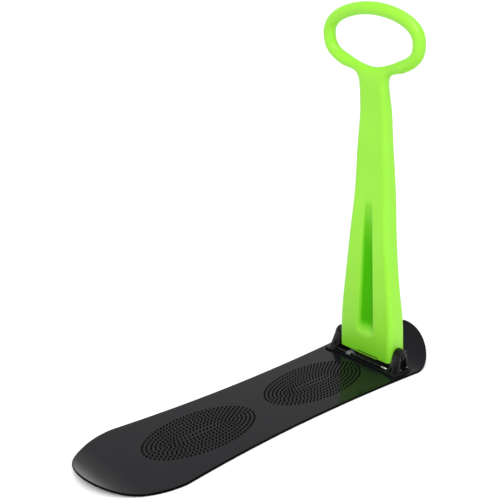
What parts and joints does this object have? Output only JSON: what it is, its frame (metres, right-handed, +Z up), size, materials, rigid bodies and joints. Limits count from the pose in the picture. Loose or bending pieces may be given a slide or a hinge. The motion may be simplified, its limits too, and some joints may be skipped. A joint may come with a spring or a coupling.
{
  "type": "folding snow scooter",
  "caption": "Stand-on snow scooter: a narrow moulded deck with upturned ends, a tapering handle with an oval ring grip that folds back over the deck, and a toe pedal that frees it.",
  "frame": {"origin": "middle of the deck's underside, on the ground", "axes": "+X towards the nose, along the deck; +Y to the left of a rider facing the nose; +Z up"},
  "size_m": [0.95, 0.2797, 0.8459],
  "materials": {
    "black_hdpe": "semi-gloss moulded black",
    "black_nylon": "satin moulded black",
    "lime_hdpe": "satin moulded lime green",
    "grey_plastic": "satin grey",
    "zinc_steel": "bright zinc plated",
    "black_steel": "black finished steel",
    "natural_nylon": "natural off-white"
  },
  "bodies": {
    "board": {"deck": "black_hdpe", "hinge_base": "black_nylon", "pivot_bolt": "black_steel", "pivot_nut": "black_steel", "pivot_washer_right": "black_steel", "pivot_washer_left": "black_steel", "pedal_rod": "zinc_steel", "pedal_spring": "zinc_steel", "base_screw_1": "zinc_steel", "base_screw_2": "zinc_steel", "base_screw_3": "zinc_steel", "base_screw_4": "zinc_steel", "base_screw_5": "zinc_steel", "base_screw_6": "zinc_steel", "base_nut_1": "black_steel", "base_nut_2": "black_steel", "base_nut_3": "black_steel", "base_nut_4": "black_steel", "base_nut_5": "black_steel", "base_nut_6": "black_steel"},
    "grip_handle": {"handle": "lime_hdpe", "handle_foot": "lime_hdpe", "pivot_bush_right": "natural_nylon", "pivot_bush_left": "natural_nylon", "foot_screw_1": "zinc_steel", "foot_screw_2": "zinc_steel", "foot_screw_3": "zinc_steel", "foot_screw_4": "zinc_steel"},
    "toe_pedal": {"release_pedal": "black_nylon", "release_tab": "grey_plastic"}
  },
  "joints": [
    {"name": "handle_fold", "type": "hinge", "parent": "board", "child": "grip_handle", "pos_m": [0.343, 0, 0.041], "axis": [0, -1, 0], "range_deg": [0, 85]},
    {"name": "pedal_press", "type": "hinge", "parent": "board", "child": "toe_pedal", "pos_m": [0.3115, 0, 0.0112], "axis": [0, 1, 0], "range_deg": [0, 7], "stiffness_Nm_per_rad": 0.5, "springref_deg": -5.73, "deforming": ["pedal_spring"]}
  ]
}
